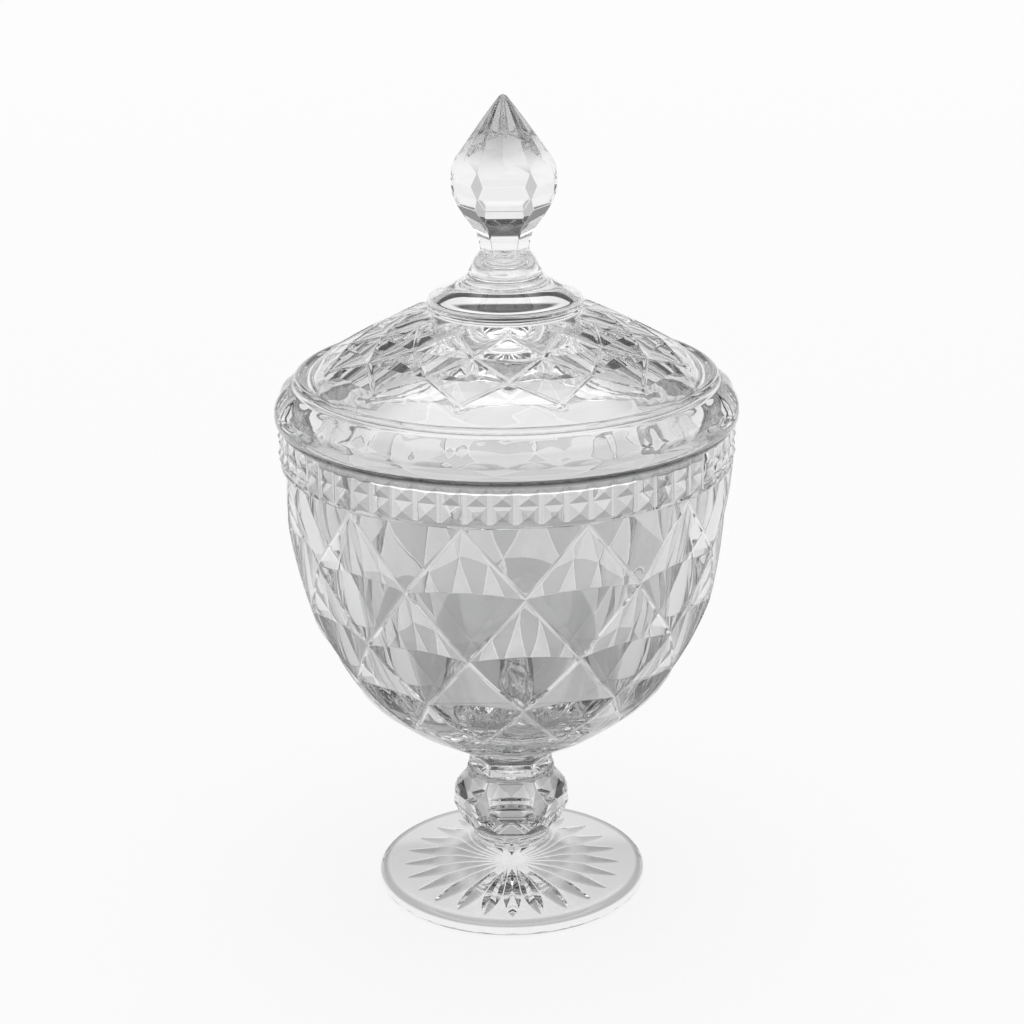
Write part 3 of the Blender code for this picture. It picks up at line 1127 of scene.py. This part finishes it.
    def _ray_tone(self, radius: float) -> float:
        """Give a ray floor's painted tone of light and shade, in alternating zones out from the middle.

        Args:
            radius: how far out it is, in millimetres.

        Returns:
            The painted tone.
        """
        for (inner, first), (outer, second) in zip(self.ray_zones[:-1], self.ray_zones[1:]):
            if radius <= outer:
                return first + (second - first) * (radius - inner) / (outer - inner)
        return self.ray_zones[-1][1]

    def _bowl(self, surface: GlassSurface, below: Ring) -> Ring:
        """Add the bowl from the stem up its outside, over the rim and down inside.

        Args:
            surface: the surface to grow.
            below: the row that the stem ends in.

        Returns:
            The last row inside.
        """
        lattice = DiamondLattice(
            [(r * MM, z * MM) for r, z in self.bowl_levels], math.radians(self.pattern_turn),
            [b * MM for b in self.bulges], upper_polish=self.upper_polish, lower_polish=self.lower_polish,
            swells=[s * MM for s in self.swells],
        )
        band = StudBand(self.stud_radius * MM, self.stud_top * MM, self.stud_bottom * MM)
        rim_rows = [band.row(surface, radius * MM, (self.rim - drop) * MM) for radius, drop in self.rim_edge]
        for first, second in zip(rim_rows[:-1], rim_rows[1:]):
            surface.join(first, second)
        low = band.grow(surface, rim_rows[-1])
        for radius, height in self.band_foot:
            low = surface.join(low, band.row(surface, radius * MM, height * MM))
        low = lattice.grow(surface, low)
        base = [surface.points[number].copy() for number in low.ids]
        start = self.bowl_skirt[0]
        profile = smooth_curve(self.bowl_skirt, 4)[1:]
        for n, (radius, height) in enumerate(profile):
            fade = 1.0 - (n + 1) / len(profile)
            points = []
            for point in base:
                ratio = math.hypot(point.x, point.y) / (start[0] * MM)
                points.append(polar(radius * MM * (1.0 + (ratio - 1.0) * fade), angle_of(point),
                                    height * MM + (point.z - start[1] * MM) * fade))
            low = surface.extend(low, points)
        ledge = surface.circle(self.round_steps, self.ledge[0] * MM, self.ledge[1] * MM)
        surface.join(low, ledge)
        surface.join(ledge, below)
        previous = rim_rows[0]
        for radius, height in smooth_curve(self.inside, 3):
            row = surface.circle(self.round_steps, radius * MM, height * MM, self.inner_polish)
            previous = surface.join(previous, row)
        return previous


# -------------------------------------------------------------------- the lid


@dataclass
class Lid:
    """Dome, collar and knob, fused into one piece of glass."""

    edge: Sequence[tuple[float, float, bool]] = (
        (52.2, 117.65, False), (52.7, 117.85, False), (53.0, 118.5, False), (53.0, 119.6, False),
        (52.95, 120.5, False), (52.75, 121.1, False), (52.65, 121.5, True), (52.4, 122.4, True),
        (51.8, 123.5, True), (50.8, 124.8, True), (49.7, 125.7, True), (49.1, 125.95, False),
        (48.75, 126.15, False), (48.6, 126.6, False), (48.35, 127.3, False), (47.8, 127.8, False),
        (47.1, 128.1, False), (46.4, 128.05, False), (45.9, 127.8, False), (45.6, 127.75, False),
        (44.6, 128.4, False), (42.8, 129.8, False),
    )
    levels: Sequence[tuple[float, float]] = (
        (41.3, 131.0), (35.2, 134.6), (28.8, 138.0), (22.2, 141.2),
    )
    bulges: Sequence[float] = (0.1, -0.4, -0.35, -0.3)
    collar: Sequence[tuple[float, float]] = (
        (17.3, 142.1), (17.5, 142.4), (17.75, 143.1), (17.7, 144.3), (17.35, 145.1), (16.6, 145.6),
        (15.2, 146.2), (12.4, 147.6), (9.6, 149.3), (8.7, 150.1), (8.3, 150.7), (8.3, 151.0),
        (7.65, 152.2), (6.9, 153.7), (6.2, 154.8), (5.7, 155.3),
    )
    knob: Sequence[tuple[float, float, float]] = (
        (155.6, 5.6, 0.4), (156.6, 5.6, 0.4), (158.8, 6.06, 0.4), (161.0, 7.2, 0.4), (163.3, 8.9, 0.4),
    )
    girdle: Sequence[tuple[float, float, float]] = (
        (163.6, 9.1, 0.5), (166.2, 10.5, 2.8), (168.8, 11.7, 0.5), (171.8, 11.85, 3.2), (174.6, 11.6, 0.5),
    )
    # Painted tones down the point, painted shade towards its tip.
    crown_tones: Sequence[float] = (0.6, 0.0, -0.75, -1.0, -1.0)
    crown: Sequence[tuple[float, float, float]] = (
        (176.6, 10.75, 9.85), (178.4, 9.35, 9.2), (184.4, 5.1, 4.95), (188.4, 2.1, 2.05),
        (190.0, 0.85, 0.85),
    )
    tip: float = 190.4
    lip: Sequence[tuple[float, float]] = (
        (48.3, 117.65), (48.25, 114.4), (48.1, 114.0), (47.6, 113.85), (46.5, 113.85), (46.05, 114.0),
        (45.9, 114.4), (45.8, 117.0),
    )
    inside: Sequence[tuple[float, float]] = (
        (45.7, 119.0), (45.2, 121.2), (44.2, 123.3), (42.9, 124.9), (41.0, 126.4), (36.0, 129.6),
        (28.0, 133.2),
        (18.0, 136.2), (8.0, 137.6),
    )
    inside_top: float = 137.9
    pattern_turn: float = 16.1
    rib_width: float = 0.95
    # Painted light on the lattice facets that point up.
    upper_polish: float = 0.8
    swell: float = 0.1
    panels: int = 30
    panel_steps: int = 8
    panel_depth: float = 0.35
    # Painted tones: painted light inside and in a bright band of the rolled edge, painted shade at the lip.
    inner_polish: float = 0.85
    lip_tone: float = -0.35
    lip_to: float = 118.5
    side_polish: float = 0.4
    bright_tone: float = 0.75
    bright_from: float = 121.4
    bright_to: float = 127.9
    round_steps: int = 180

    def build(self, glass: bpy.types.Material) -> bpy.types.Object:
        """Make the piece.

        Args:
            glass: its finish.

        Returns:
            The lid's glass.
        """
        surface = GlassSurface()
        first = previous = None
        for radius, height, panelled in self.edge:
            ring = self._edge_row(surface, radius, height, panelled)
            if previous is None:
                first = ring
            else:
                surface.join(previous, ring)
            previous = ring
        lattice = DiamondLattice(
            [(r * MM, z * MM) for r, z in self.levels], math.radians(self.pattern_turn),
            [b * MM for b in self.bulges], rib_width=self.rib_width * MM, upper_polish=self.upper_polish,
            swells=[self.swell * MM] * (len(self.levels) - 1),
        )
        previous = lattice.grow(surface, previous)
        for radius, height in smooth_curve(self.collar, 2):
            row = surface.circle(self.round_steps, radius * MM, height * MM, 1.0)
            previous = surface.join(previous, row)
        # Painted light on the flats of the knob and girdle, painted shade on their corner facets.
        knob = SixSided([tuple(value * MM for value in section) for section in self.knob], smooth_steps=4,
                        flat_tone=0.75, facet_tone=-0.6)
        girdle = SixSided([tuple(value * MM for value in section) for section in self.girdle],
                          flat_tone=0.75, facet_tone=-0.7)
        for piece in (knob, girdle):
            for row in piece.rows():
                previous = surface.join(previous, surface.ring(row, piece.tones()))
        crown = Crown([tuple(value * MM for value in level) for level in self.crown])
        for row, tone in zip(crown.rows(), self.crown_tones):
            previous = surface.join(previous, surface.ring(row, crown.streaks(tone)))
        surface.close(previous, self.tip * MM)
        previous = first
        for radius, height in [*self.lip, *smooth_curve(self.inside, 3)]:
            tone = self.inner_polish if height > self.lip_to else self.lip_tone
            row = surface.circle(self.round_steps, radius * MM, height * MM, tone)
            previous = surface.join(previous, row)
        surface.close(previous, self.inside_top * MM)
        obj = surface.make("lid_glass")
        obj.data.materials.append(glass)
        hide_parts("lid", "lid_collar", "finial")
        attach(obj, Body.COVER.value)
        return obj

    def _edge_row(self, surface: GlassSurface, radius: float, height: float, panelled: bool) -> Ring:
        """Add a row of the rolled edge, cut flat where the panels are.

        Args:
            surface: the surface to grow.
            radius: its radius, in millimetres.
            height: its height, in millimetres.
            panelled: whether the panels cut it.

        Returns:
            The row.
        """
        count = self.panels * self.panel_steps
        half = math.pi / self.panels
        points = []
        for k in range(count):
            angle = FULL_TURN * k / count
            off = ((angle % (2.0 * half)) - half) / half
            flute = self.panel_depth * (1.0 - off * off) if panelled else 0.0
            points.append(polar((radius - flute) * MM, angle, height * MM))
        # Painted light in the bright band of the rolled edge.
        clear = self.bright_tone if self.bright_from < height < self.bright_to else self.side_polish
        return surface.ring(points, [clear] * count)


# ------------------------------------------------------------------ the studio


@dataclass
class Studio:
    """A plain pale table, soft light that is the same all round, and the camera."""

    eye: tuple[float, float, float] = (0.0, -0.5063, 0.2665)
    pitch: float = math.radians(18.852)
    roll: float = math.radians(0.68)
    lens: float = 80.9
    shift: float = 0.0041
    floor_radius: float = 40.0
    floor_glow: float = 0.86
    floor_grain: float = 0.01
    grain_scale: float = 900.0
    wall: float = 0.94
    wall_to: float = 0.26
    wall_fade: float = 0.08
    gap: float = 0.09
    ceiling: float = 2.1
    ceiling_edge: tuple[float, float] = (0.70, 0.88)
    bounces: int = 32
    gloss_bounces: int = 16

    def build(self) -> None:
        """Set the table, the light and the camera."""
        self._floor()
        self._light()
        self._camera()
        scene = bpy.context.scene
        scene.view_settings.view_transform = "Standard"
        scene.cycles.max_bounces = self.bounces
        scene.cycles.transmission_bounces = self.bounces
        scene.cycles.glossy_bounces = self.gloss_bounces
        scene.cycles.use_denoising = True

    def _floor(self) -> None:
        """Lay the plain pale table, which glows evenly like a light table."""
        bm = bmesh.new()
        bmesh.ops.create_circle(bm, cap_ends=True, segments=96, radius=self.floor_radius)
        mesh = bpy.data.meshes.new("studio_floor")
        bm.to_mesh(mesh)
        bm.free()
        floor = bpy.data.objects.new("studio_floor", mesh)
        bpy.context.scene.collection.objects.link(floor)
        material = bpy.data.materials.new("pale_table")
        material.use_nodes = True
        shade = Shade(material.node_tree)
        place = shade.out(shade.add("ShaderNodeTexCoord"), "Object")
        glow = self.floor_glow + self.floor_grain * shade.noise(place, self.grain_scale, 2.0)
        shader = shade.add(
            "ShaderNodeBsdfPrincipled", None, Base_Color=(0.08, 0.08, 0.08, 1.0), Roughness=0.9,
            Emission_Color=glow, Emission_Strength=1.0,
        )
        shade.add("ShaderNodeOutputMaterial", None, Surface=shade.out(shader, "BSDF"))
        mesh.materials.append(material)

    def _light(self) -> None:
        """Light the set with a pale wall all round, a dark gap above it and a bright ceiling."""
        world = bpy.data.worlds.new("studio_light")
        bpy.context.scene.world = world
        world.use_nodes = True
        shade = Shade(world.node_tree)
        direction = shade.out(shade.add("ShaderNodeTexCoord"), "Generated")
        way = shade.add("ShaderNodeSeparateXYZ", None, Vector=direction)
        z = shade.out(way, "Z")
        wall = 1.0 - z.ramp(self.wall_to, self.wall_to + self.wall_fade)
        ceiling = z.ramp(*self.ceiling_edge)
        light = self.gap + (self.wall - self.gap) * wall + self.ceiling * ceiling
        sky = shade.add("ShaderNodeBackground", None, Color=light, Strength=1.0)
        shade.add("ShaderNodeOutputWorld", None, Surface=shade.out(sky, "Background"))

    def _camera(self) -> None:
        """Place the camera."""
        data = bpy.data.cameras.new("camera")
        data.lens = self.lens
        data.sensor_width = 36.0
        data.shift_x = self.shift
        data.clip_start = 0.01
        camera = bpy.data.objects.new("camera", data)
        bpy.context.scene.collection.objects.link(camera)
        turn = Matrix.Rotation(math.radians(90.0) - self.pitch, 4, "X") @ Matrix.Rotation(-self.roll, 4, "Z")
        camera.matrix_world = Matrix.Translation(Vector(self.eye)) @ turn
        bpy.context.scene.camera = camera


def main() -> None:
    """Build the jar, the lid and the studio."""
    logging.basicConfig(level=logging.INFO)
    jar = Jar().build(ClearGlass("jar_clear_glass").build())
    LOG.info("built %s with %d faces", jar.name, len(jar.data.polygons))
    # The lid's glass is a paler copy of the jar's, painted light for the top light on it; it darkens towards
    # the knob's tip, partly for the solid glass there and partly as painted shade.
    lid_glass = ClearGlass(
        "lid_clear_glass", tint=(0.78, 0.783, 0.781, 1.0), seed_tint=(0.74, 0.743, 0.742, 1.0),
        depths=((0.0, 1.0), (174.5, 1.0), (182.0, 0.55), (190.4, 0.5)),
    )
    lid = Lid().build(lid_glass.build())
    LOG.info("built %s with %d faces", lid.name, len(lid.data.polygons))
    Studio().build()


if __name__ == "__main__":
    main()
